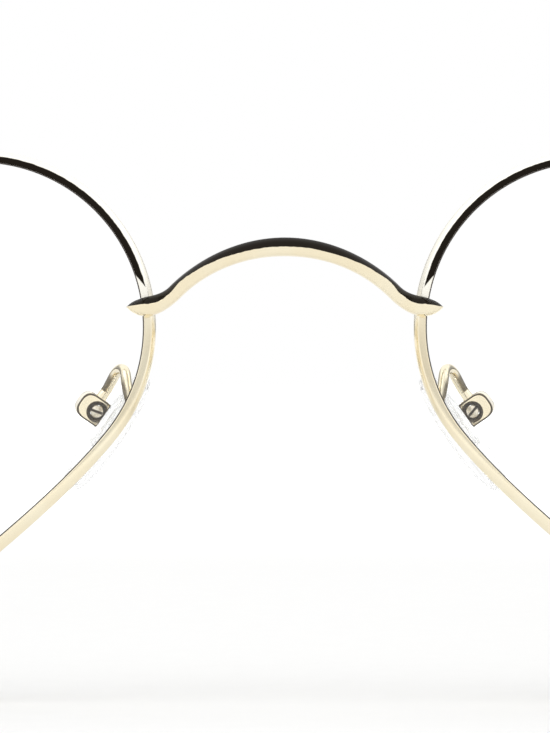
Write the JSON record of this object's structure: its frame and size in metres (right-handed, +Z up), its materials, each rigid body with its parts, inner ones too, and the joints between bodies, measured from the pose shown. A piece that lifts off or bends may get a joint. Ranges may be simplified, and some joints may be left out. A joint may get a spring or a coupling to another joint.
{
  "type": "heart-shaped eyeglasses",
  "caption": "Metal eyeglasses with heart-shaped clear lenses, an arched bridge, rocking nose pads and temples that fold on screwed hinges.",
  "frame": {"origin": "on the surface that the glasses stand on, under the middle of their box", "axes": "+Z up, -Y the way the wearer looks, +Y back along the open temples, +X to the wearer's left"},
  "size_m": [0.1354, 0.1444, 0.0411],
  "materials": {
    "gold_metal": "polished pale gold plating",
    "two_tone_metal": "polished pale gold, with black enamel over the upper part",
    "clear_lens": "clear and polished",
    "clear_pad": "clear silicone",
    "clear_insert": "clear moulded plastic",
    "screw_steel": "turned steel",
    "black_tip": "polished black plastic"
  },
  "bodies": {
    "front": {"bridge": "two_tone_metal", "left_rim": "two_tone_metal", "left_lens": "clear_lens", "left_endpiece": "gold_metal", "left_upper_rim_lock": "gold_metal", "left_lower_rim_lock": "gold_metal", "left_rim_screw": "screw_steel", "left_front_hinge_leaf": "gold_metal", "left_hinge_screw": "screw_steel", "left_pad_arm": "gold_metal", "left_pad_box": "gold_metal", "left_pad_screw": "screw_steel", "right_rim": "two_tone_metal", "right_lens": "clear_lens", "right_endpiece": "gold_metal", "right_upper_rim_lock": "gold_metal", "right_lower_rim_lock": "gold_metal", "right_rim_screw": "screw_steel", "right_front_hinge_leaf": "gold_metal", "right_hinge_screw": "screw_steel", "right_pad_arm": "gold_metal", "right_pad_box": "gold_metal", "right_pad_screw": "screw_steel"},
    "left_temple": {"left_temple_hinge_leaf": "gold_metal", "left_temple": "gold_metal", "left_temple_tip": "black_tip"},
    "right_temple": {"right_temple_hinge_leaf": "gold_metal", "right_temple": "gold_metal", "right_temple_tip": "black_tip"},
    "left_pad": {"left_pad_insert": "clear_insert", "left_nose_pad": "clear_pad"},
    "right_pad": {"right_pad_insert": "clear_insert", "right_nose_pad": "clear_pad"}
  },
  "joints": [
    {"name": "left_temple_fold", "type": "hinge", "parent": "front", "child": "left_temple", "pos_m": [0.06482, -0.05891, 0.02942], "axis": [0, 0, 1], "range_deg": [0, 91.5]},
    {"name": "right_temple_fold", "type": "hinge", "parent": "front", "child": "right_temple", "pos_m": [-0.06482, -0.05891, 0.02942], "axis": [0, 0, -1], "range_deg": [0, 88.5]},
    {"name": "left_pad_rock", "type": "hinge", "parent": "front", "child": "left_pad", "pos_m": [0.01425, -0.0645, 0.02173], "axis": [-0.1281, -0.9877, -0.0897], "range_deg": [-10, 10]},
    {"name": "right_pad_rock", "type": "hinge", "parent": "front", "child": "right_pad", "pos_m": [-0.01425, -0.0645, 0.02173], "axis": [-0.1281, 0.9877, 0.0897], "range_deg": [-10, 10]}
  ]
}
